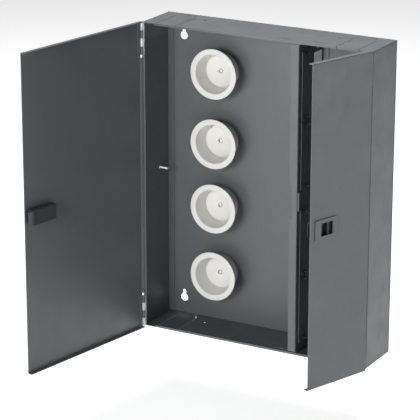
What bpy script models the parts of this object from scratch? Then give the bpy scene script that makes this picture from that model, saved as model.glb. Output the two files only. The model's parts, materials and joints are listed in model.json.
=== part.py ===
"""Wall-mounted fiber termination box: bent sheet cabinet, two doors, spools and adapter partition.

Metres. X runs to the right, Y into the wall, Z up. The origin is the centre of the rear face.
"""

import math

import bmesh
import bpy

# Cabinet
WIDTH = 0.474
HEIGHT = 0.600
DEPTH = 0.100
SHEET = 0.0015
GAP = 0.0003
BEND = 0.00125  # centre-line radius of every fold
FRAME_REAR = -(SHEET + GAP)
INNER_FRONT = -DEPTH + SHEET
SIDE_LEG = 0.005
LIP_HEIGHT = 0.004
LIP_HALF_LENGTH = 0.2095
WALL_LIP = 0.007
REAR_FLANGE = 0.013

# Fixing holes and knockouts
KEYHOLE_X = 0.202
KEYHOLE_Z = (0.258, -0.268)
KEYHOLE_RADIUS = 0.008
KEYHOLE_SLOT = 0.0075
KEYHOLE_RISE = 0.017
KNOCKOUT_X = 0.186
KNOCKOUT_RADIUS = 0.0215
KNOCKOUT_END_Y = -0.0275
KNOCKOUT_BRIDGE_Y = -0.064
SLIT = 0.001
BRIDGE = 0.004
TIE_SLOT_X = (0.055, 0.1225)
TIE_SLOT_Y = -0.086
TIE_SLOT = (0.026, 0.0025)
TIE_HOLE_X = 0.138
TIE_HOLE_Y = -0.035
TIE_HOLE_RADIUS = 0.0025

# Partition, adapter windows and their blank plates
FLANGE_LEFT = 0.0755
WEB_RIGHT = 0.091
WEB_X = WEB_RIGHT - SHEET / 2
FLANGE_HALF_HEIGHT = 0.2938
NOTCH_RIGHT = 0.0804
NOTCH_HALF_HEIGHT = 0.033
SLOT_Y = (-0.0984, -0.0900)
SLOT_HALF_HEIGHT = 0.018
WINDOW_Y = (-0.0705, -0.0235)
WINDOW_WIDTH = 0.032
WINDOW_HEIGHT = 0.106
WINDOW_Z = (0.2145, 0.0835, -0.0835, -0.2145)
PLATE_WIDTH = 0.037
PLATE_HEIGHT = 0.130
PLATE_CORNER = 0.002
PLUNGER_PITCH = 0.118
PLUNGER_HOLE = 0.0025

# Push-pull fasteners, measured along X from the face of the blank plate
PLATE_FACE = WEB_RIGHT + GAP + SHEET
GROMMET_BORE = 0.0014
GROMMET_BODY = 0.0023
GROMMET_FLANGE = 0.0040
GROMMET_BARB = 0.0029
GROMMET_SPLIT = 0.0008
PIN_RADIUS = 0.0012
KNOB_RADIUS = 0.0030
KNOB_WAIST = 0.0019

# Spools
SPOOL_X = -0.1194
SPOOL_Z = (0.200, 0.064, -0.064, -0.200)
SPOOL_RIM = 0.0485
SPOOL_MOUTH = 0.0370
SPOOL_FLOOR = 0.0305
SPOOL_FRONT = -0.0382
SPOOL_FLOOR_Y = -0.0069
SCREW_HOLE = 0.0022
SCREW_SHANK = 0.0019
SCREW_HEAD = 0.0046

# Earth stud
STUD_Y = -0.0375
STUD_Z = 0.003
STUD_RADIUS = 0.003
STUD_LENGTH = 0.018

# Hinges
PIVOT_X = 0.2350
PIVOT_Y = -0.1023
KNUCKLE = 0.0020
KNUCKLE_BORE = 0.0011
HINGE_PIN = 0.0010
LEAF_NEAR = 0.0009
LEAF_FAR = 0.00195
LEAF_START = 0.0024
FRAME_LEAF_END = 0.0050
DOOR_LEAF_END = 0.0100
HINGE_LENGTH = 0.062
KNUCKLE_COUNT = 4
KNUCKLE_GAP = 0.0005
PIN_TIP = 0.0010

# Doors, measured from the pivot: u towards the free edge, v into the cabinet, both in the closed pose
DOOR_HALF_HEIGHT = 0.302
DOOR_RETURN = 0.0095
DOOR_START = 0.0018
DOOR_FACE = -0.0022
EDGE_RETURN = 0.0041  # short return on the hinge edge, between the two hinges
EDGE_RELIEF = 0.0055
LEFT_DOOR_END = 0.3203
RIGHT_DOOR_END = 0.1477
LEFT_OPEN_DEG = -100.2
RIGHT_OPEN_DEG = 70.4

# Slam latch, measured from the free edge (s) and from the inner face of the door (n)
LATCH_Z = -0.002
CUTOUT = (0.0237, 0.0563)
CUTOUT_HALF = 0.0135
HOUSING = (0.0076, 0.0676)
HOUSING_HALF = 0.014
HOUSING_DEPTH = 0.0141
BEZEL = (0.011, 0.064)
BEZEL_HALF = 0.019
BEZEL_THICKNESS = 0.0018
BEZEL_CORNER = 0.0025
OPENING = (0.025, 0.055)
OPENING_HALF = 0.0122
BOLT_HALF = 0.012
STOP = (0.0233, 0.0252)
STOP_DEPTH = 0.0059
SPRING = (0.0463, 0.0658)
SPRING_DEPTH = 0.0082
SPRING_RADIUS = 0.0026
SPRING_WIRE = 0.00035
SPRING_TURNS = 7

ARC_STEPS = 5
LATHE_STEPS = 40
SMALL_STEPS = 16
SMOOTH_ANGLE = math.radians(35)

LEFT = -1
RIGHT = 1


def clear_scene():
    for old in list(bpy.data.objects):
        bpy.data.objects.remove(old)


def material(name, colour, roughness, metallic):
    made = bpy.data.materials.new(name)
    made.use_nodes = True
    shader = made.node_tree.nodes["Principled BSDF"]
    shader.inputs["Base Color"].default_value = (*colour, 1)
    shader.inputs["Roughness"].default_value = roughness
    shader.inputs["Metallic"].default_value = metallic
    return made


def add_object(name, bm, finish=None, parent=None, smooth=False):
    """Closes a bmesh into a named object with its faces turned outwards."""
    bmesh.ops.remove_doubles(bm, verts=bm.verts, dist=1e-6)
    bmesh.ops.recalc_face_normals(bm, faces=bm.faces)
    mesh = bpy.data.meshes.new(name)
    bm.to_mesh(mesh)
    bm.free()
    made = bpy.data.objects.new(name, mesh)
    bpy.context.scene.collection.objects.link(made)
    made.parent = parent
    if finish:
        mesh.materials.append(finish)
    if smooth:
        mesh.shade_smooth()
        mesh.set_sharp_from_angle(angle=SMOOTH_ANGLE)
    return made


def add_prism(bm, outline, axis, low, high):
    """Adds a straight prism: the outline lies across the axis, in X, Y, Z order without that axis."""
    rings = []
    for level in (low, high):
        ring = []
        for first, second in outline:
            place = [first, second]
            place.insert("XYZ".index(axis), level)
            ring.append(bm.verts.new(place))
        rings.append(ring)
    bm.faces.new(rings[0])
    bm.faces.new(reversed(rings[1]))
    for index, corner in enumerate(rings[0]):
        after = (index + 1) % len(rings[0])
        bm.faces.new((corner, rings[1][index], rings[1][after], rings[0][after]))


def prism(name, outline, axis, low, high, **options):
    bm = bmesh.new()
    add_prism(bm, outline, axis, low, high)
    return add_object(name, bm, **options)


def block(name, x, y, z, **options):
    """A box between two limits on each axis, given in either order."""
    outline = [(x[0], y[0]), (x[1], y[0]), (x[1], y[1]), (x[0], y[1])]
    return prism(name, outline, "Z", z[0], z[1], **options)


def circle(centre, radius, steps=SMALL_STEPS):
    return [
        (
            centre[0] + radius * math.cos(2 * math.pi * step / steps),
            centre[1] + radius * math.sin(2 * math.pi * step / steps),
        )
        for step in range(steps)
    ]


def rounded_rectangle(first, second, radius):
    """Outline of a rectangle between two limits per axis, with rounded corners."""
    corners = [
        (max(first) - radius, max(second) - radius, 0),
        (min(first) + radius, max(second) - radius, 90),
        (min(first) + radius, min(second) + radius, 180),
        (max(first) - radius, min(second) + radius, 270),
    ]
    outline = []
    for across, up, start in corners:
        for step in range(ARC_STEPS + 1):
            angle = math.radians(start + 90 * step / ARC_STEPS)
            outline.append((across + radius * math.cos(angle), up + radius * math.sin(angle)))
    return outline


def round_corners(path, radius):
    """Replaces each inner corner of an open path with an arc."""
    points = [path[0]]
    for before, corner, after in zip(path, path[1:], path[2:]):
        enter = math.atan2(corner[1] - before[1], corner[0] - before[0])
        leave = math.atan2(after[1] - corner[1], after[0] - corner[0])
        turn = (leave - enter + math.pi) % (2 * math.pi) - math.pi
        side = math.copysign(1, turn)
        reach = radius * math.tan(abs(turn) / 2)
        start = (corner[0] - reach * math.cos(enter), corner[1] - reach * math.sin(enter))
        centre = (
            start[0] - side * radius * math.sin(enter),
            start[1] + side * radius * math.cos(enter),
        )
        for step in range(ARC_STEPS + 1):
            angle = enter - side * math.pi / 2 + turn * step / ARC_STEPS
            points.append((centre[0] + radius * math.cos(angle), centre[1] + radius * math.sin(angle)))
    points.append(path[-1])
    return points


def ribbon(points, width):
    """Closed outline of a strip of constant width around an open path."""
    sides = ([], [])
    for index, point in enumerate(points):
        before = points[max(index - 1, 0)]
        after = points[min(index + 1, len(points) - 1)]
        enter = math.atan2(point[1] - before[1], point[0] - before[0])
        leave = math.atan2(after[1] - point[1], after[0] - point[0])
        enter = leave if index == 0 else enter
        leave = enter if index == len(points) - 1 else leave
        turn = (leave - enter + math.pi) % (2 * math.pi) - math.pi
        normal = enter + turn / 2 + math.pi / 2
        reach = width / 2 / math.cos(turn / 2)
        for side, sign in zip(sides, (1, -1)):
            side.append((point[0] + sign * reach * math.cos(normal), point[1] + sign * reach * math.sin(normal)))
    return sides[0] + sides[1][::-1]


def folded(path):
    return ribbon(round_corners(path, BEND), SHEET)


def lathe(name, profile, axis, centre, steps=SMALL_STEPS, **options):
    """Turns a profile of (radius, position) about an axis through the centre."""
    bm = bmesh.new()
    along = "XYZ".index(axis)
    others = [index for index in range(3) if index != along]
    verts = []
    for radius, position in profile:
        place = [0.0, 0.0, 0.0]
        place[along] = position
        place[others[0]] = centre[0] + radius
        place[others[1]] = centre[1]
        verts.append(bm.verts.new(place))
    edges = [bm.edges.new(pair) for pair in zip(verts, verts[1:])]
    if profile[0][0] > 0:
        edges.append(bm.edges.new((verts[-1], verts[0])))
    pivot = [0.0, 0.0, 0.0]
    pivot[others[0]], pivot[others[1]] = centre
    turn_axis = [float(index == along) for index in range(3)]
    bmesh.ops.spin(
        bm,
        geom=verts + edges,
        cent=pivot,
        axis=turn_axis,
        angle=2 * math.pi,
        steps=steps,
        use_merge=True,
    )
    return add_object(name, bm, smooth=True, **options)


def boolean(target, other, operation):
    other.hide_render = True
    other.display_type = "WIRE"
    modifier = target.modifiers.new(other.name, "BOOLEAN")
    modifier.operation = operation
    modifier.solver = "EXACT"
    modifier.object = other
    return target


def cut(target, cutter):
    return boolean(target, cutter, "DIFFERENCE")


def join(target, piece):
    return boolean(target, piece, "UNION")


def keyhole_outline(x, z):
    """Round entry with a narrow slot that rises from it."""
    half = KEYHOLE_SLOT / 2
    opening = math.asin(half / KEYHOLE_RADIUS)
    steps = 20
    outline = []
    for step in range(steps + 1):
        angle = math.pi / 2 + opening + (2 * math.pi - 2 * opening) * step / steps
        outline.append((x + KEYHOLE_RADIUS * math.cos(angle), z + KEYHOLE_RADIUS * math.sin(angle)))
    for step in range(ARC_STEPS + 1):
        angle = math.pi * step / ARC_STEPS
        outline.append((x + half * math.cos(angle), z + KEYHOLE_RISE - half + half * math.sin(angle)))
    return outline


def back_panel(finish):
    panel = block(
        "back_panel",
        (-WIDTH / 2, WIDTH / 2),
        (-SHEET, 0),
        (-HEIGHT / 2, HEIGHT / 2),
        finish=finish,
    )
    holes = bmesh.new()
    for z in KEYHOLE_Z:
        for x in (-KEYHOLE_X, KEYHOLE_X):
            add_prism(holes, keyhole_outline(x, z), "Y", -2 * SHEET, SHEET)
    for z in SPOOL_Z:
        add_prism(holes, circle((SPOOL_X, z), SCREW_HOLE), "Y", -2 * SHEET, SHEET)
    return cut(panel, add_object("cut_back_panel", holes))


def knockout_slits(bm, x, low, high):
    """Four slits that leave three bridges around a U-shaped tongue."""
    half_bridge = BRIDGE / 2
    gap_angle = half_bridge / KNOCKOUT_RADIUS
    for side in (LEFT, RIGHT):
        leg = x + side * KNOCKOUT_RADIUS
        front = [(leg, -DEPTH - SHEET), (leg, KNOCKOUT_BRIDGE_Y - half_bridge)]
        add_prism(bm, ribbon(front, SLIT), "Z", low, high)
        rear = [(leg, KNOCKOUT_BRIDGE_Y + half_bridge)]
        steps = 8
        for step in range(steps + 1):
            angle = (math.pi / 2 - gap_angle) * step / steps
            across = x + side * KNOCKOUT_RADIUS * math.cos(angle)
            rear.append((across, KNOCKOUT_END_Y + KNOCKOUT_RADIUS * math.sin(angle)))
        add_prism(bm, ribbon(rear, SLIT), "Z", low, high)


def end_panel(name, side, finish):
    """Top (side 1) or bottom (side -1) of the cabinet, with a short leg folded down at each end."""
    edge = WIDTH / 2 - SHEET / 2
    level = side * (HEIGHT / 2 - SHEET / 2)
    leg = side * (HEIGHT / 2 - SIDE_LEG)
    path = [(-edge, leg), (-edge, level), (edge, level), (edge, leg)]
    panel = prism(name, folded(path), "Y", -DEPTH, FRAME_REAR, finish=finish, smooth=True)
    lip_levels = (side * (HEIGHT / 2 - LIP_HEIGHT), side * (HEIGHT / 2 - SHEET / 2))
    lip = block("lip_" + name, (-LIP_HALF_LENGTH, LIP_HALF_LENGTH), (-DEPTH, INNER_FRONT), lip_levels)
    join(panel, lip)
    holes = bmesh.new()
    low = side * (HEIGHT / 2 - 2 * SIDE_LEG)
    high = side * (HEIGHT / 2 + SHEET)
    for x in (-KNOCKOUT_X, KNOCKOUT_X):
        knockout_slits(holes, x, low, high)
    for x in TIE_SLOT_X:
        length = (x - TIE_SLOT[0] / 2, x + TIE_SLOT[0] / 2)
        width = (TIE_SLOT_Y - TIE_SLOT[1] / 2, TIE_SLOT_Y + TIE_SLOT[1] / 2)
        add_prism(holes, rounded_rectangle(length, width, TIE_SLOT[1] / 2.1), "Z", low, high)
    for x in (-TIE_HOLE_X, TIE_HOLE_X):
        add_prism(holes, circle((x, TIE_HOLE_Y), TIE_HOLE_RADIUS), "Z", low, high)
    return cut(panel, add_object("cut_" + name, holes))


def side_wall(name, side, finish):
    """Channel with a front lip and a rear flange, both folded into the cabinet."""
    web = side * (WIDTH / 2 - SHEET / 2)
    front = -DEPTH + SHEET / 2
    rear = FRAME_REAR - SHEET / 2
    path = [
        (side * (WIDTH / 2 - WALL_LIP), front),
        (web, front),
        (web, rear),
        (side * (WIDTH / 2 - REAR_FLANGE), rear),
    ]
    top = HEIGHT / 2 - SIDE_LEG - GAP
    return prism(name, folded(path), "Z", -top, top, finish=finish, smooth=True)


def partition(finish):
    """Folded upright with the latch notch, the latch slot, eight windows and the plunger holes."""
    front = -DEPTH + SHEET / 2
    rear = FRAME_REAR - SHEET / 2
    path = [
        (FLANGE_LEFT, front),
        (WEB_X, front),
        (WEB_X, rear),
        (WEB_RIGHT + REAR_FLANGE - SHEET, rear),
    ]
    top = HEIGHT / 2 - SHEET - GAP
    upright = prism("partition", folded(path), "Z", -top, top, finish=finish, smooth=True)
    across = (FLANGE_LEFT - SHEET, WEB_RIGHT + SHEET)
    through = (WEB_X - 2 * SHEET, WEB_X + 2 * SHEET)
    holes = bmesh.new()
    for side in (-1, 1):
        relief = [(y, z) for y, z in (
            (-DEPTH - SHEET, side * FLANGE_HALF_HEIGHT),
            (-DEPTH + 2 * SHEET, side * FLANGE_HALF_HEIGHT),
            (-DEPTH + 2 * SHEET, side * HEIGHT / 2),
            (-DEPTH - SHEET, side * HEIGHT / 2),
        )]
        add_prism(holes, relief, "X", *across)
    notch = [
        (-DEPTH - SHEET, LATCH_Z - NOTCH_HALF_HEIGHT),
        (INNER_FRONT + SHEET, LATCH_Z - NOTCH_HALF_HEIGHT),
        (INNER_FRONT + SHEET, LATCH_Z + NOTCH_HALF_HEIGHT),
        (-DEPTH - SHEET, LATCH_Z + NOTCH_HALF_HEIGHT),
    ]
    add_prism(holes, notch, "X", FLANGE_LEFT - SHEET, NOTCH_RIGHT)
    slot = [
        (SLOT_Y[0], LATCH_Z - SLOT_HALF_HEIGHT),
        (SLOT_Y[1], LATCH_Z - SLOT_HALF_HEIGHT),
        (SLOT_Y[1], LATCH_Z + SLOT_HALF_HEIGHT),
        (SLOT_Y[0], LATCH_Z + SLOT_HALF_HEIGHT),
    ]
    add_prism(holes, slot, "X", *through)
    for y in WINDOW_Y:
        for z in WINDOW_Z:
            wide = (y - WINDOW_WIDTH / 2, y + WINDOW_WIDTH / 2)
            high = (z - WINDOW_HEIGHT / 2, z + WINDOW_HEIGHT / 2)
            add_prism(holes, rounded_rectangle(wide, high, PLATE_CORNER / 2), "X", *through)
            for end in (-PLUNGER_PITCH / 2, PLUNGER_PITCH / 2):
                add_prism(holes, circle((y, z + end), PLUNGER_HOLE), "X", *through)
    return cut(upright, add_object("cut_partition", holes))


def blank_plate(name, z, finish):
    y = WINDOW_Y[0]
    wide = (y - PLATE_WIDTH / 2, y + PLATE_WIDTH / 2)
    high = (z - PLATE_HEIGHT / 2, z + PLATE_HEIGHT / 2)
    outline = rounded_rectangle(wide, high, PLATE_CORNER)
    plate = prism(name, outline, "X", WEB_RIGHT + GAP, PLATE_FACE, finish=finish)
    holes = bmesh.new()
    for end in (-PLUNGER_PITCH / 2, PLUNGER_PITCH / 2):
        add_prism(holes, circle((y, z + end), PLUNGER_HOLE), "X", WEB_RIGHT, PLATE_FACE + SHEET)
    return cut(plate, add_object("cut_" + name, holes))


def grommet(name, z, finish):
    """Split nylon socket: flange on the plate, body through both sheets, barb behind the web."""
    seat = PLATE_FACE + GAP
    behind = WEB_RIGHT - SHEET - GAP
    profile = [
        (GROMMET_BORE, seat + 0.0012),
        (GROMMET_FLANGE - 0.0003, seat + 0.0012),
        (GROMMET_FLANGE, seat + 0.0009),
        (GROMMET_FLANGE, seat),
        (GROMMET_BODY, seat),
        (GROMMET_BODY, behind),
        (GROMMET_BARB, behind),
        (GROMMET_BODY, behind - 0.0020),
        (GROMMET_BORE, behind - 0.0020),
    ]
    centre = (WINDOW_Y[0], z)
    socket = lathe(name, profile, "X", centre, finish=finish)
    half = GROMMET_SPLIT / 2
    slit = block(
        "cut_" + name,
        (behind - 0.0030, seat - GAP),
        (centre[0] - half, centre[0] + half),
        (z - GROMMET_FLANGE, z + GROMMET_FLANGE),
    )
    return cut(socket, slit)


def plunger(name, z, finish):
    """Push-pull pin with a waisted knob; its origin is on its own axis."""
    seat = PLATE_FACE + GAP + 0.0012 + GAP
    tip = WEB_RIGHT - SHEET - GAP - 0.0018
    end = WEB_RIGHT + 0.0100
    profile = [
        (0.0, tip),
        (PIN_RADIUS * 0.7, tip),
        (PIN_RADIUS, tip + 0.0005),
        (PIN_RADIUS, seat),
        (KNOB_RADIUS, seat),
        (KNOB_RADIUS, seat + 0.0010),
        (KNOB_WAIST, seat + 0.0018),
        (KNOB_WAIST, end - 0.0022),
        (KNOB_RADIUS, end - 0.0014),
        (KNOB_RADIUS, end - 0.0004),
        (KNOB_RADIUS * 0.85, end),
        (0.0, end),
    ]
    profile = [(radius, position - PLATE_FACE) for radius, position in profile]
    pin = lathe(name, profile, "X", (0.0, 0.0), finish=finish)
    pin.location = (PLATE_FACE, WINDOW_Y[0], z)
    return pin


def spool(name, z, finish):
    """Flanged drum with a tapered recess and a raised floor; the fiber winds behind the rim."""
    rear = FRAME_REAR
    profile = [
        (SCREW_HOLE, rear),
        (0.0355, rear),
        (0.0383, SPOOL_FRONT + 0.0028),
        (0.0389, SPOOL_FRONT + 0.0022),
        (SPOOL_RIM - 0.0009, SPOOL_FRONT + 0.0022),
        (SPOOL_RIM, SPOOL_FRONT + 0.0014),
        (SPOOL_RIM, SPOOL_FRONT + 0.0008),
        (SPOOL_RIM - 0.0008, SPOOL_FRONT),
        (SPOOL_MOUTH + 0.0022, SPOOL_FRONT),
        (SPOOL_MOUTH + 0.0009, SPOOL_FRONT + 0.0004),
        (SPOOL_MOUTH, SPOOL_FRONT + 0.0018),
        (SPOOL_FLOOR + 0.0025, SPOOL_FLOOR_Y + 0.0014),
        (SPOOL_FLOOR + 0.0020, SPOOL_FLOOR_Y + 0.0024),
        (SPOOL_FLOOR + 0.0006, SPOOL_FLOOR_Y + 0.0024),
        (SPOOL_FLOOR, SPOOL_FLOOR_Y + 0.0007),
        (SPOOL_FLOOR - 0.0007, SPOOL_FLOOR_Y),
        (SCREW_HOLE, SPOOL_FLOOR_Y),
    ]
    return lathe(name, profile, "Y", (SPOOL_X, z), steps=LATHE_STEPS, finish=finish)


def spool_screw(name, z, finish):
    """Pan head screw with a cross recess."""
    seat = SPOOL_FLOOR_Y - GAP
    crown = seat - 0.0027
    profile = [
        (0.0, -SHEET / 4),
        (SCREW_SHANK, -SHEET / 4),
        (SCREW_SHANK, seat),
        (SCREW_HEAD, seat),
        (SCREW_HEAD, seat - 0.0012),
        (SCREW_HEAD - 0.0008, seat - 0.0022),
        (SCREW_HEAD - 0.0022, crown),
        (0.0, crown),
    ]
    screw = lathe(name, profile, "Y", (SPOOL_X, z), steps=20, finish=finish)
    long_half = 0.0025
    short_half = 0.00045
    outline = []
    for quarter in range(4):
        turn = quarter * math.pi / 2
        for across, up in ((short_half, short_half), (long_half, short_half), (long_half, -short_half)):
            x = SPOOL_X + across * math.cos(turn) + up * math.sin(turn)
            outline.append((x, z - across * math.sin(turn) + up * math.cos(turn)))
    return cut(screw, prism("cut_" + name, outline, "Y", crown - 0.0010, crown + 0.0016))


def ground_stud(finish):
    base = -WIDTH / 2 + SHEET + GAP
    tip = base + STUD_LENGTH
    profile = [(0.0, base), (STUD_RADIUS + 0.0010, base), (STUD_RADIUS + 0.0010, base + 0.0008)]
    thread_start = base + 0.0008
    ridges = 14
    pitch = (tip - 0.0006 - thread_start) / ridges
    for ridge in range(ridges):
        start = thread_start + ridge * pitch
        profile.append((STUD_RADIUS - 0.0004, start))
        profile.append((STUD_RADIUS, start + pitch / 2))
    profile.extend([(STUD_RADIUS - 0.0004, tip - 0.0006), (STUD_RADIUS - 0.0009, tip), (0.0, tip)])
    return lathe("ground_stud", profile, "X", (STUD_Y, STUD_Z), finish=finish)


def hinge_levels(end):
    """Lower and upper Z of each knuckle, from the corner of the cabinet (end 1 or -1) inwards."""
    pitch = (HINGE_LENGTH + KNUCKLE_GAP) / KNUCKLE_COUNT
    levels = []
    for index in range(KNUCKLE_COUNT):
        outer = HEIGHT / 2 - index * pitch
        pair = (end * outer, end * (outer - pitch + KNUCKLE_GAP))
        levels.append((min(pair), max(pair)))
    return levels


def hinge_leaf(name, centre, side, end, first, depth, reach, **options):
    """Leaf plate with every second knuckle; centre is the pivot, side the way the free edge lies."""
    x, y = centre
    levels = hinge_levels(end)
    span = (min(low for low, high in levels), max(high for low, high in levels))
    leaf = block(
        name,
        (x + side * LEAF_START, x + side * reach),
        (y + depth[0], y + depth[1]),
        span,
        **options,
    )
    knuckles = bmesh.new()
    necks = bmesh.new()
    for low, high in levels[first::2]:
        add_prism(knuckles, circle(centre, KNUCKLE, 24), "Z", low, high)
        neck = [
            (x, y + depth[0]),
            (x + side * (LEAF_START + SHEET), y + depth[0]),
            (x + side * (LEAF_START + SHEET), y + depth[1]),
            (x, y + depth[1]),
        ]
        add_prism(necks, neck, "Z", low, high)
    parent = options.get("parent")
    join(leaf, add_object("neck_" + name, necks, parent=parent))
    join(leaf, add_object("knuckle_" + name, knuckles, parent=parent))
    bore = prism(
        "bore_" + name,
        circle(centre, KNUCKLE_BORE),
        "Z",
        span[0] - SHEET,
        span[1] + SHEET,
        parent=parent,
    )
    return cut(leaf, bore)


def hinge_pin(name, side, end, finish):
    outer = end * (HEIGHT / 2 - GAP)
    inner = end * (HEIGHT / 2 - HINGE_LENGTH - PIN_TIP)
    profile = [
        (0.0, outer),
        (HINGE_PIN, outer),
        (HINGE_PIN, inner + end * 0.0005),
        (HINGE_PIN * 0.6, inner),
        (0.0, inner),
    ]
    return lathe(name, profile, "Z", (side * PIVOT_X, PIVOT_Y), finish=finish)


def door_frame(name, side, open_deg):
    """Empty on the hinge line, turned from the closed pose to the pose at rest."""
    pivot = bpy.data.objects.new(name, None)
    bpy.context.scene.collection.objects.link(pivot)
    pivot.location = (side * PIVOT_X, PIVOT_Y, 0)
    pivot.rotation_euler = (0, 0, math.radians(open_deg))
    return pivot


def door_pieces(prefix, side, door_end, pivot, paint, zinc, black):
    """One door in its closed pose about the pivot; the pivot empty then swings it open."""

    def at_u(u):
        return -side * u

    def at_s(s):
        return at_u(door_end - s)

    def at_n(n):
        return DOOR_FACE + n

    def latch_block(name, s, half, n):
        limits = (at_s(s[0]), at_s(s[1]))
        height = (LATCH_Z - half, LATCH_Z + half)
        return block(name, limits, (at_n(n[0]), at_n(n[1])), height, parent=pivot)

    def latch_outline(points):
        return [(at_s(s), at_n(n)) for s, n in points]

    middle = DOOR_FACE - SHEET / 2
    level = DOOR_HALF_HEIGHT - SHEET / 2
    path = [
        (middle - SHEET / 2 + DOOR_RETURN, -level),
        (middle, -level),
        (middle, level),
        (middle - SHEET / 2 + DOOR_RETURN, level),
    ]
    door = prism(
        prefix + "_door",
        folded(path),
        "X",
        at_u(DOOR_START),
        at_u(door_end),
        finish=paint,
        parent=pivot,
        smooth=True,
    )
    reach = HEIGHT / 2 - HINGE_LENGTH - EDGE_RELIEF
    edge_u = (at_u(DOOR_START), at_u(DOOR_START + SHEET))
    edge_n = (at_n(-SHEET / 2), at_n(EDGE_RETURN))
    join(door, block("edge_" + prefix + "_door", edge_u, edge_n, (-reach, reach), parent=pivot))
    cut(door, latch_block("cut_" + prefix + "_door", CUTOUT, CUTOUT_HALF, (-2 * SHEET, SHEET)))

    for end, label in ((1, "top"), (-1, "bottom")):
        hinge_leaf(
            "hinge_door_leaf_" + prefix + "_" + label,
            (0.0, 0.0),
            -side,
            end,
            1,
            (-LEAF_FAR, -LEAF_NEAR),
            DOOR_LEAF_END,
            finish=paint,
            parent=pivot,
            smooth=True,
        )

    wall = SHEET
    housing = latch_block(prefix + "_latch_housing", HOUSING, HOUSING_HALF, (GAP, HOUSING_DEPTH))
    housing.data.materials.append(black)
    hollow = (HOUSING[0] - wall, HOUSING[1] - wall)
    inside = latch_block("cut_" + prefix + "_housing", hollow, HOUSING_HALF - wall, (-wall, HOUSING_DEPTH - wall))
    cut(housing, inside)
    join(housing, latch_block("stop_" + prefix, STOP, HOUSING_HALF - wall / 2, (GAP, STOP_DEPTH)))

    rear_of_bezel = -SHEET - GAP
    bezel_s = (at_s(BEZEL[0]), at_s(BEZEL[1]))
    bezel_z = (LATCH_Z - BEZEL_HALF, LATCH_Z + BEZEL_HALF)
    bm = bmesh.new()
    outline = rounded_rectangle(bezel_s, bezel_z, BEZEL_CORNER)
    face = at_n(rear_of_bezel - BEZEL_THICKNESS)
    add_prism(bm, outline, "Y", face, at_n(rear_of_bezel))
    bezel = add_object(prefix + "_latch_bezel", bm, finish=paint, parent=pivot)
    collar_wall = 0.001
    collar = (OPENING[0] - collar_wall, OPENING[1] + collar_wall)
    collar_n = (rear_of_bezel - BEZEL_THICKNESS / 2, -GAP / 3)
    join(bezel, latch_block("collar_" + prefix, collar, OPENING_HALF + collar_wall, collar_n))
    cut(bezel, latch_block("cut_" + prefix + "_bezel", OPENING, OPENING_HALF, (-4 * SHEET, SHEET)))

    bolt_profile = [
        (0.0015, 0.0065),
        (0.0255, 0.0065),
        (0.0255, 0.0008),
        (0.0425, 0.0065),
        (0.0425, -0.0008),
        (0.0460, -0.0008),
        (0.0460, 0.0030),
        (0.0580, 0.0030),
        (0.0580, 0.0046),
        (0.0460, 0.0046),
        (0.0460, 0.0123),
        (0.0070, 0.0123),
    ]
    prism(
        prefix + "_latch_bolt",
        latch_outline(bolt_profile),
        "Z",
        LATCH_Z - BOLT_HALF,
        LATCH_Z + BOLT_HALF,
        finish=black,
        parent=pivot,
    )
    latch_spring(prefix + "_latch_spring", at_s, at_n(SPRING_DEPTH), pivot, zinc)


def latch_spring(name, at_s, depth, pivot, finish):
    """Coil spring between the bolt and the end wall of the housing."""
    coil = bpy.data.curves.new(name, "CURVE")
    coil.dimensions = "3D"
    coil.bevel_depth = SPRING_WIRE
    coil.bevel_resolution = 0
    coil.use_fill_caps = True
    steps = SPRING_TURNS * 12
    line = coil.splines.new("POLY")
    line.points.add(steps)
    for step, point in enumerate(line.points):
        turn = 2 * math.pi * step / 12
        s = SPRING[0] + SPRING_WIRE + (SPRING[1] - SPRING[0] - 2 * SPRING_WIRE) * step / steps
        y = depth + SPRING_RADIUS * math.cos(turn)
        z = LATCH_Z + SPRING_RADIUS * math.sin(turn)
        point.co = (at_s(s), y, z, 1)
    made = bpy.data.objects.new(name, coil)
    bpy.context.scene.collection.objects.link(made)
    made.parent = pivot
    coil.materials.append(finish)
    return made


def main():
    clear_scene()
    paint = material("grey_paint", (0.20, 0.215, 0.225), 0.5, 0.0)
    zinc = material("bright_zinc", (0.72, 0.72, 0.70), 0.3, 1.0)
    white = material("white_plastic", (0.82, 0.82, 0.80), 0.45, 0.0)
    black = material("black_plastic", (0.015, 0.016, 0.017), 0.5, 0.0)
    nylon = material("black_nylon", (0.03, 0.03, 0.032), 0.3, 0.0)

    back_panel(paint)
    end_panel("top_panel", 1, paint)
    end_panel("bottom_panel", -1, paint)
    side_wall("left_wall", LEFT, paint)
    side_wall("right_wall", RIGHT, paint)
    partition(paint)
    for index, z in enumerate(WINDOW_Z):
        blank_plate("blank_plate_" + str(index + 1), z, paint)
        for half, end in enumerate((PLUNGER_PITCH / 2, -PLUNGER_PITCH / 2)):
            label = str(2 * index + half + 1)
            grommet("grommet_" + label, z + end, nylon)
            plunger("plunger_" + label, z + end, nylon)
    for index, z in enumerate(SPOOL_Z):
        spool("spool_" + str(index + 1), z, white)
        spool_screw("spool_screw_" + str(index + 1), z, zinc)
    ground_stud(zinc)
    for side, prefix in ((LEFT, "left"), (RIGHT, "right")):
        for end, label in ((1, "top"), (-1, "bottom")):
            where = prefix + "_" + label
            centre = (side * PIVOT_X, PIVOT_Y)
            hinge_leaf(
                "hinge_frame_leaf_" + where,
                centre,
                -side,
                end,
                0,
                (LEAF_NEAR, LEAF_FAR),
                FRAME_LEAF_END,
                finish=zinc if side == LEFT else paint,
                smooth=True,
            )
            hinge_pin("hinge_pin_" + where, side, end, zinc)
    left_pivot = door_frame("left_hinge_line", LEFT, LEFT_OPEN_DEG)
    right_pivot = door_frame("right_hinge_line", RIGHT, RIGHT_OPEN_DEG)
    door_pieces("left", LEFT, LEFT_DOOR_END, left_pivot, paint, zinc, black)
    door_pieces("right", RIGHT, RIGHT_DOOR_END, right_pivot, paint, zinc, black)


main()
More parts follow.
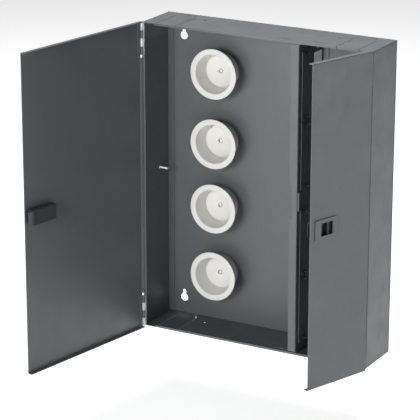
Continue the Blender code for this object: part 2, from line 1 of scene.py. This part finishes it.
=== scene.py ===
"""Looks of the fiber termination box: camera, soft studio, bevels and procedural materials."""

import json
import math

import bpy
from mathutils import Matrix, Vector


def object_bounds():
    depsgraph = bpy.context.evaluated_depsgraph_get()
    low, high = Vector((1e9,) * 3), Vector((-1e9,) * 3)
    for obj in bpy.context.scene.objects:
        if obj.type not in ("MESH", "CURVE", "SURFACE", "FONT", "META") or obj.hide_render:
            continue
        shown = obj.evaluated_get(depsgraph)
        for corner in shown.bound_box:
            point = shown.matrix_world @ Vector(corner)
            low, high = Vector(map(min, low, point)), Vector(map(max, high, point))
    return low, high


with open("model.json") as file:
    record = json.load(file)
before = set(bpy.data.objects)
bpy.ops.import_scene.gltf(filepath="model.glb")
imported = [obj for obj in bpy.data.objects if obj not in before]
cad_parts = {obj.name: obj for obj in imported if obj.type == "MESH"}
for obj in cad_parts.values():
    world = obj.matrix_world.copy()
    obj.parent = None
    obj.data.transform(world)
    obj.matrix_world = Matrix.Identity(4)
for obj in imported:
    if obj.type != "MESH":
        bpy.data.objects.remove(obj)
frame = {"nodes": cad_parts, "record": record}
CAD_BOX = [list(corner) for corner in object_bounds()]
NODES = frame["nodes"]
SLOTS = {piece["node"]: piece["material_slot"] for piece in frame["record"]["subparts"]}

# Camera: angles in degrees, distances in metres, lens on the 36 mm sensor
AZIMUTH = 28.92
ELEVATION = 17.83
ROLL = 0.11
LENS = 191.1
DISTANCE = 4.291
TARGET = Vector((-0.1461, 0.0, -0.0805))
SENSOR = 36.0

# Studio: metres, shader strengths and light powers in watts
FLOOR_DROP = 0.10
FLOOR_SIZE = 40.0
PAPER_WHITE = 0.90
PAPER_ROUGHNESS = 0.9
PAPER_GLOW = 0.60
BACKDROP_STRENGTH = 1.0
AMBIENT_COLOUR = (0.96, 0.98, 1.0)
AMBIENT_STRENGTH = 0.05
LIGHTS = {
    "key": {"place": (-0.15, -3.2, 0.85), "aim": (0.0, 0.0, 0.0), "size": (1.0, 1.0), "power": 75},
    "top": {"place": (-0.5, 1.3, 2.2), "aim": (0.0, -0.05, 0.3), "size": (2.6, 1.6), "power": 75},
    "right_fill": {"place": (3.0, 0.9, -0.15), "aim": (0.2, -0.1, -0.25), "size": (1.6, 0.6), "power": 8},
    "door_fill": {"place": (2.2, -2.6, 0.3), "aim": (-0.25, -0.35, 0.0), "size": (0.8, 1.4), "power": 9},
    "left_card": {"place": (-1.9, -2.9, -0.1), "aim": (0.0, 0.0, 0.0), "size": (1.4, 1.4), "power": 26},
}

# Rounded edges of the CAD nodes: metres and degrees
WELD_DISTANCE = 0.00001
EDGE_ROUND = 0.00035
SMALL_EDGE_ROUND = 0.00012
EDGE_ANGLE = 32
EDGE_SEGMENTS = 2
SMALL_NODES = ("grommet", "plunger", "spool_screw", "ground_stud", "hinge_pin")

# Finishes: linear colours, noise scales in cycles per metre, bump distances in metres
EDGE_SAMPLES = 4
PAINT = {
    "base": (0.066, 0.075, 0.080),
    "worn": (0.20, 0.21, 0.215),
    "fleck": (0.86, 1.14),
    "cloud": 0.22,
    "peel_scale": 1500,
    "grain_scale": 4200,
    "speckle_scale": 900,
    "cloud_scale": 6,
    "rub_scale": 160,
    "rub_radius": 0.0010,
    "smear_scale": 28,
    "roughness": (0.40, 0.52),
    "specular": 0.85,
    "peel_bump": (0.42, 0.00012),
    "grain_bump": (0.22, 0.00004),
}
ZINC = {
    "base": (0.80, 0.80, 0.78),
    "dull": 0.74,
    "line_scale": 260,
    "line_stretch": (14.0, 14.0, 1.0),
    "blotch_scale": 180,
    "roughness": (0.22, 0.38),
    "line_bump": (0.12, 0.00004),
}
PLASTIC_FLOW_SCALE = 22
PLASTIC_FINE_PART = 6
PLASTIC_EDGE_RADIUS = 0.0006
PLASTIC_IOR = 1.48
PLASTIC_FINE_BUMP = (0.10, 0.00008)
PLASTIC_GRAIN_BUMP = (0.16, 0.00003)
SCATTER_RADIUS = (1.0, 0.95, 0.9)
SCATTER_SCALE = 0.0012
PLASTICS = {
    "white_plastic": {
        "base": (0.66, 0.655, 0.63),
        "shade": (0.60, 0.595, 0.57),
        "roughness": 0.45,
        "grain_scale": 2600,
        "translucent": 0.10,
    },
    "black_plastic": {
        "base": (0.020, 0.021, 0.022),
        "shade": (0.028, 0.029, 0.030),
        "roughness": 0.46,
        "grain_scale": 2400,
        "translucent": 0.0,
    },
    "black_nylon": {
        "base": (0.022, 0.022, 0.024),
        "shade": (0.034, 0.034, 0.036),
        "roughness": 0.24,
        "grain_scale": 2600,
        "translucent": 0.0,
    },
}


def add_camera():
    azimuth = math.radians(AZIMUTH)
    elevation = math.radians(ELEVATION)
    back = Vector((
        math.sin(azimuth) * math.cos(elevation),
        -math.cos(azimuth) * math.cos(elevation),
        math.sin(elevation),
    ))
    data = bpy.data.cameras.new("camera")
    data.lens = LENS
    data.sensor_width = SENSOR
    data.clip_end = 100.0
    camera = bpy.data.objects.new("camera", data)
    bpy.context.scene.collection.objects.link(camera)
    turn = (-back).to_track_quat("-Z", "Y").to_matrix().to_4x4()
    camera.matrix_world = Matrix.Translation(TARGET + back * DISTANCE) @ turn @ Matrix.Rotation(
        math.radians(ROLL), 4, "Z"
    )
    bpy.context.scene.camera = camera


def add_area(name, place, aim, size, power):
    data = bpy.data.lights.new(name, "AREA")
    data.shape = "RECTANGLE"
    data.size, data.size_y = size
    data.energy = power
    light = bpy.data.objects.new(name, data)
    bpy.context.scene.collection.objects.link(light)
    light.location = place
    light.rotation_euler = (Vector(aim) - Vector(place)).to_track_quat("-Z", "Y").to_euler()


def add_floor():
    mesh = bpy.data.meshes.new("floor")
    half = FLOOR_SIZE / 2
    level = CAD_BOX[0][2] - FLOOR_DROP
    ways = ((-1, -1), (1, -1), (1, 1), (-1, 1))
    mesh.from_pydata([(x * half, y * half, level) for x, y in ways], [], [(0, 1, 2, 3)])
    floor = bpy.data.objects.new("floor", mesh)
    bpy.context.scene.collection.objects.link(floor)
    paper = bpy.data.materials.new("studio_paper")
    paper.use_nodes = True
    shader = paper.node_tree.nodes["Principled BSDF"]
    shader.inputs["Base Color"].default_value = (PAPER_WHITE, PAPER_WHITE, PAPER_WHITE, 1)
    shader.inputs["Roughness"].default_value = PAPER_ROUGHNESS
    shader.inputs["Emission Color"].default_value = (1, 1, 1, 1)
    shader.inputs["Emission Strength"].default_value = PAPER_GLOW
    mesh.materials.append(paper)


def add_world():
    """White behind the object for the camera, and a dim ambient light for everything else."""
    world = bpy.data.worlds.new("studio")
    world.use_nodes = True
    tree = world.node_tree
    tree.nodes.clear()
    out = tree.nodes.new("ShaderNodeOutputWorld")
    seen = tree.nodes.new("ShaderNodeBackground")
    seen.inputs["Color"].default_value = (1, 1, 1, 1)
    seen.inputs["Strength"].default_value = BACKDROP_STRENGTH
    glow = tree.nodes.new("ShaderNodeBackground")
    glow.inputs["Color"].default_value = (*AMBIENT_COLOUR, 1)
    glow.inputs["Strength"].default_value = AMBIENT_STRENGTH
    rays = tree.nodes.new("ShaderNodeLightPath")
    mix = tree.nodes.new("ShaderNodeMixShader")
    tree.links.new(rays.outputs["Is Camera Ray"], mix.inputs["Fac"])
    tree.links.new(glow.outputs[0], mix.inputs[1])
    tree.links.new(seen.outputs[0], mix.inputs[2])
    tree.links.new(mix.outputs[0], out.inputs["Surface"])
    bpy.context.scene.world = world


def add_studio():
    add_floor()
    add_world()
    for name, light in LIGHTS.items():
        add_area(name, **light)
    bpy.context.scene.view_settings.view_transform = "Standard"
    bpy.context.scene.view_settings.look = "None"


class Shading:
    """A small builder for one procedural material."""

    def __init__(self, name):
        self.material = bpy.data.materials.new(name)
        self.material.use_nodes = True
        self.tree = self.material.node_tree
        self.shader = self.tree.nodes["Principled BSDF"]
        self.place = self.tree.nodes.new("ShaderNodeTexCoord").outputs["Object"]

    def constant(self, socket, value):
        self.shader.inputs[socket].default_value = value

    def link(self, source, target):
        self.tree.links.new(source, target)

    def noise(self, scale, detail=3.0, roughness=0.55, stretch=None, distortion=0.0):
        node = self.tree.nodes.new("ShaderNodeTexNoise")
        node.inputs["Scale"].default_value = scale
        node.inputs["Detail"].default_value = detail
        node.inputs["Roughness"].default_value = roughness
        node.inputs["Distortion"].default_value = distortion
        source = self.place
        if stretch:
            mapping = self.tree.nodes.new("ShaderNodeMapping")
            mapping.inputs["Scale"].default_value = stretch
            self.link(source, mapping.inputs["Vector"])
            source = mapping.outputs["Vector"]
        self.link(source, node.inputs["Vector"])
        return node.outputs["Fac"]

    def spread(self, source, low, high, start=0.3, end=0.7):
        """Maps a factor from start..end to low..high."""
        node = self.tree.nodes.new("ShaderNodeMapRange")
        node.inputs["From Min"].default_value = start
        node.inputs["From Max"].default_value = end
        node.inputs["To Min"].default_value = low
        node.inputs["To Max"].default_value = high
        self.link(source, node.inputs["Value"])
        return node.outputs["Result"]

    def math(self, operation, first, second):
        node = self.tree.nodes.new("ShaderNodeMath")
        node.operation = operation
        for socket, value in zip(node.inputs, (first, second)):
            if isinstance(value, (int, float)):
                socket.default_value = value
            else:
                self.link(value, socket)
        return node.outputs[0]

    def mix(self, factor, first, second):
        node = self.tree.nodes.new("ShaderNodeMix")
        node.data_type = "RGBA"
        sockets = [socket for socket in node.inputs if socket.type == "RGBA"]
        for socket, value in zip(sockets, (first, second)):
            if isinstance(value, tuple):
                socket.default_value = (*value, 1)
            else:
                self.link(value, socket)
        if isinstance(factor, (int, float)):
            node.inputs["Factor"].default_value = factor
        else:
            self.link(factor, node.inputs["Factor"])
        return [socket for socket in node.outputs if socket.type == "RGBA"][0]

    def edges(self, radius, start, end):
        """Mask of outer and inner corners, from how a rounded normal leaves the true one."""
        bevel = self.tree.nodes.new("ShaderNodeBevel")
        bevel.samples = EDGE_SAMPLES
        bevel.inputs["Radius"].default_value = radius
        true = self.tree.nodes.new("ShaderNodeNewGeometry")
        dot = self.tree.nodes.new("ShaderNodeVectorMath")
        dot.operation = "DOT_PRODUCT"
        self.link(bevel.outputs["Normal"], dot.inputs[0])
        self.link(true.outputs["True Normal"], dot.inputs[1])
        return self.spread(dot.outputs["Value"], 1.0, 0.0, start, end)

    def bump(self, layers):
        """Adds bump layers of (height, strength, distance), coarse first."""
        normal = None
        for height, strength, distance in layers:
            node = self.tree.nodes.new("ShaderNodeBump")
            node.inputs["Strength"].default_value = strength
            node.inputs["Distance"].default_value = distance
            self.link(height, node.inputs["Height"])
            if normal:
                self.link(normal, node.inputs["Normal"])
            normal = node.outputs["Normal"]
        self.link(normal, self.shader.inputs["Normal"])

    def colour(self, source):
        self.link(source, self.shader.inputs["Base Color"])

    def rough(self, source):
        self.link(source, self.shader.inputs["Roughness"])


def paint_material(name, look):
    """Satin powder coat: fine orange peel, faint speckle, slight gloss changes, rubbed edges."""
    made = Shading(name)
    peel = made.noise(look["peel_scale"], detail=2.0)
    grain = made.noise(look["grain_scale"], detail=2.0)
    speckle = made.noise(look["speckle_scale"], detail=3.0)
    cloud = made.noise(look["cloud_scale"], detail=4.0)
    dark, light = (tuple(share * part for part in look["base"]) for share in look["fleck"])
    flecked = made.mix(made.spread(speckle, 0.0, 1.0, 0.35, 0.65), dark, light)
    clouded = made.mix(made.spread(cloud, 0.0, look["cloud"]), flecked, light)
    edge = made.edges(look["rub_radius"], 0.75, 0.97)
    rub = made.math("MULTIPLY", edge, made.spread(made.noise(look["rub_scale"]), 0.25, 1.0))
    made.colour(made.mix(rub, clouded, look["worn"]))
    smear = made.noise(look["smear_scale"], detail=5.0, distortion=0.6)
    gloss = made.math("ADD", made.spread(smear, *look["roughness"]), made.spread(grain, -0.03, 0.03))
    made.rough(made.math("SUBTRACT", gloss, made.math("MULTIPLY", rub, 0.1)))
    made.constant("Specular IOR Level", look["specular"])
    made.bump([(peel, *look["peel_bump"]), (grain, *look["grain_bump"])])
    return made.material


def zinc_material(name, look):
    """Bright plated steel: rolling lines along the height, soft blotches."""
    made = Shading(name)
    lines = made.noise(look["line_scale"], detail=3.0, stretch=look["line_stretch"])
    blotch = made.noise(look["blotch_scale"], detail=4.0)
    dull = tuple(look["dull"] * part for part in look["base"])
    made.colour(made.mix(made.spread(blotch, 0.0, 1.0), look["base"], dull))
    made.rough(made.math("ADD", made.spread(blotch, *look["roughness"]), made.spread(lines, -0.05, 0.06)))
    made.constant("Metallic", 1.0)
    made.bump([(lines, *look["line_bump"])])
    return made.material


def plastic_material(name, base, shade, roughness, grain_scale, translucent):
    """Moulded plastic: fine grain, faint flow clouds, slightly lighter worn edges."""
    made = Shading(name)
    grain = made.noise(grain_scale, detail=3.0)
    flow = made.noise(PLASTIC_FLOW_SCALE, detail=4.0, distortion=1.2)
    fine = made.noise(grain_scale / PLASTIC_FINE_PART, detail=3.0)
    tint = made.mix(made.spread(flow, 0.0, 0.6), base, shade)
    edge = made.edges(PLASTIC_EDGE_RADIUS, 0.75, 0.97)
    brighter = tuple(min(1.0, part * 1.06 + 0.01) for part in base)
    made.colour(made.mix(made.math("MULTIPLY", edge, made.spread(fine, 0.1, 0.6)), tint, brighter))
    gloss = made.spread(flow, roughness - 0.05, roughness + 0.06)
    made.rough(made.math("ADD", gloss, made.spread(fine, -0.04, 0.04)))
    made.constant("IOR", PLASTIC_IOR)
    if translucent:
        made.constant("Subsurface Weight", translucent)
        made.constant("Subsurface Radius", SCATTER_RADIUS)
        made.constant("Subsurface Scale", SCATTER_SCALE)
    made.bump([(fine, *PLASTIC_FINE_BUMP), (grain, *PLASTIC_GRAIN_BUMP)])
    return made.material


def dress_nodes(finishes):
    """Gives each CAD node its finish and small rounded edges."""
    for name, node in NODES.items():
        node.data.materials.clear()
        node.data.materials.append(finishes[SLOTS[name]])
        node.data.shade_smooth()
        weld = node.modifiers.new("weld", "WELD")
        weld.merge_threshold = WELD_DISTANCE
        if name.endswith("spring"):
            continue
        bevel = node.modifiers.new("edge", "BEVEL")
        bevel.limit_method = "ANGLE"
        bevel.angle_limit = math.radians(EDGE_ANGLE)
        bevel.width = SMALL_EDGE_ROUND if name.startswith(SMALL_NODES) else EDGE_ROUND
        bevel.segments = EDGE_SEGMENTS
        bevel.use_clamp_overlap = True
        bevel.harden_normals = True
        bevel.miter_outer = "MITER_ARC"
        even = node.modifiers.new("flat_faces", "WEIGHTED_NORMAL")
        even.mode = "FACE_AREA"
        even.weight = 50
        even.keep_sharp = True


add_camera()
add_studio()
FINISHES = {
    "grey_paint": paint_material("grey_paint", PAINT),
    "bright_zinc": zinc_material("bright_zinc", ZINC),
}
for slot, look in PLASTICS.items():
    FINISHES[slot] = plastic_material(slot, **look)
dress_nodes(FINISHES)
